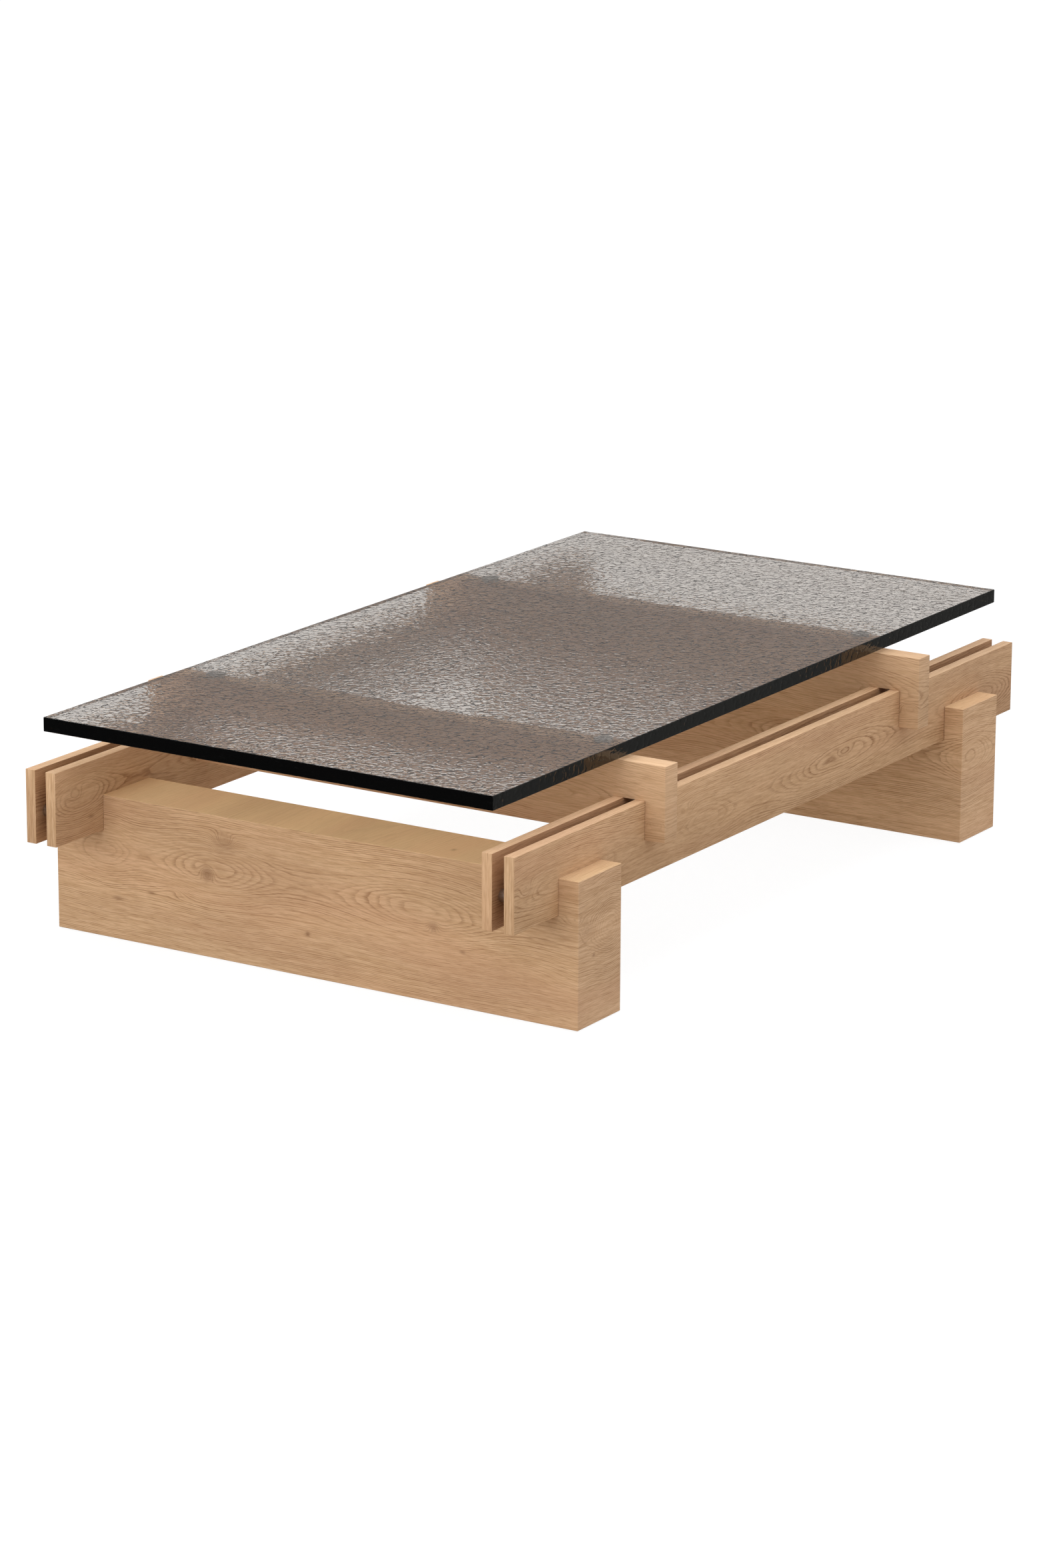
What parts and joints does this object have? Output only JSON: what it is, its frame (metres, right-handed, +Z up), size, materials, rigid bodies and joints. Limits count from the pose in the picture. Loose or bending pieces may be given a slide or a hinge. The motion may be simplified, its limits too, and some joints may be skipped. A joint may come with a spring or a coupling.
{
  "type": "coffee table",
  "caption": "Low coffee table: thick smoked hammered-glass top on an interlocking oak frame of slotted end blocks, paired rails on edge and notched cross beams.",
  "frame": {"origin": "centre of the table on the floor, under the felt glides", "axes": "+X across the width, to the right seen from the front; +Y along the length, from the front end block to the rear one; +Z up"},
  "size_m": [0.8, 1.3, 0.316],
  "materials": {
    "oak_veneer": "light oak veneer, matt clear lacquer, long grain on every face, fine open pores",
    "birch_ply": "unfinished sanded plywood, hidden inside the blocks",
    "satin_steel": "satin turned stainless steel",
    "zinc_plate": "bright zinc plated",
    "smoked_glass": "bronze-grey smoked glass, hammered relief on top, polished edges",
    "clear_silicone": "translucent soft silicone",
    "white_nylon": "natural nylon",
    "grey_felt": "dense needled felt"
  },
  "bodies": {
    "frame": {"front_block_outer_board": "oak_veneer", "front_block_inner_board": "oak_veneer", "front_block_end_boards": "oak_veneer", "front_block_top_board": "oak_veneer", "front_block_ear_caps": "oak_veneer", "front_block_base_board": "oak_veneer", "front_block_slot_cheeks": "birch_ply", "front_block_slot_floors": "birch_ply", "front_block_ribs": "birch_ply", "rear_block_outer_board": "oak_veneer", "rear_block_inner_board": "oak_veneer", "rear_block_end_boards": "oak_veneer", "rear_block_top_board": "oak_veneer", "rear_block_ear_caps": "oak_veneer", "rear_block_base_board": "oak_veneer", "rear_block_slot_cheeks": "birch_ply", "rear_block_slot_floors": "birch_ply", "rear_block_ribs": "birch_ply", "left_outer_rail": "oak_veneer", "left_inner_rail": "oak_veneer", "right_inner_rail": "oak_veneer", "right_outer_rail": "oak_veneer", "front_cross_beam": "oak_veneer", "rear_cross_beam": "oak_veneer", "front_left_rail_spacer": "satin_steel", "front_right_rail_spacer": "satin_steel", "rear_left_rail_spacer": "satin_steel", "rear_right_rail_spacer": "satin_steel", "front_left_beam_anchor": "satin_steel", "front_right_beam_anchor": "satin_steel", "rear_left_beam_anchor": "satin_steel", "rear_right_beam_anchor": "satin_steel", "rail_bolts": "zinc_plate", "rail_bolt_washers": "zinc_plate", "rail_inserts": "zinc_plate", "beam_bolts": "zinc_plate", "beam_inserts": "zinc_plate", "pin_bushes": "white_nylon", "floor_glides": "grey_felt"},
    "glass": {"glass_top": "smoked_glass", "front_left_glass_disc": "satin_steel", "front_right_glass_disc": "satin_steel", "rear_left_glass_disc": "satin_steel", "rear_right_glass_disc": "satin_steel", "glass_locating_pins": "zinc_plate", "disc_cushions": "clear_silicone"}
  },
  "joints": [
    {"name": "glass_lift", "type": "slide", "parent": "frame", "child": "glass", "axis": [0, 0, 1], "range_m": [0, 0.12]}
  ]
}
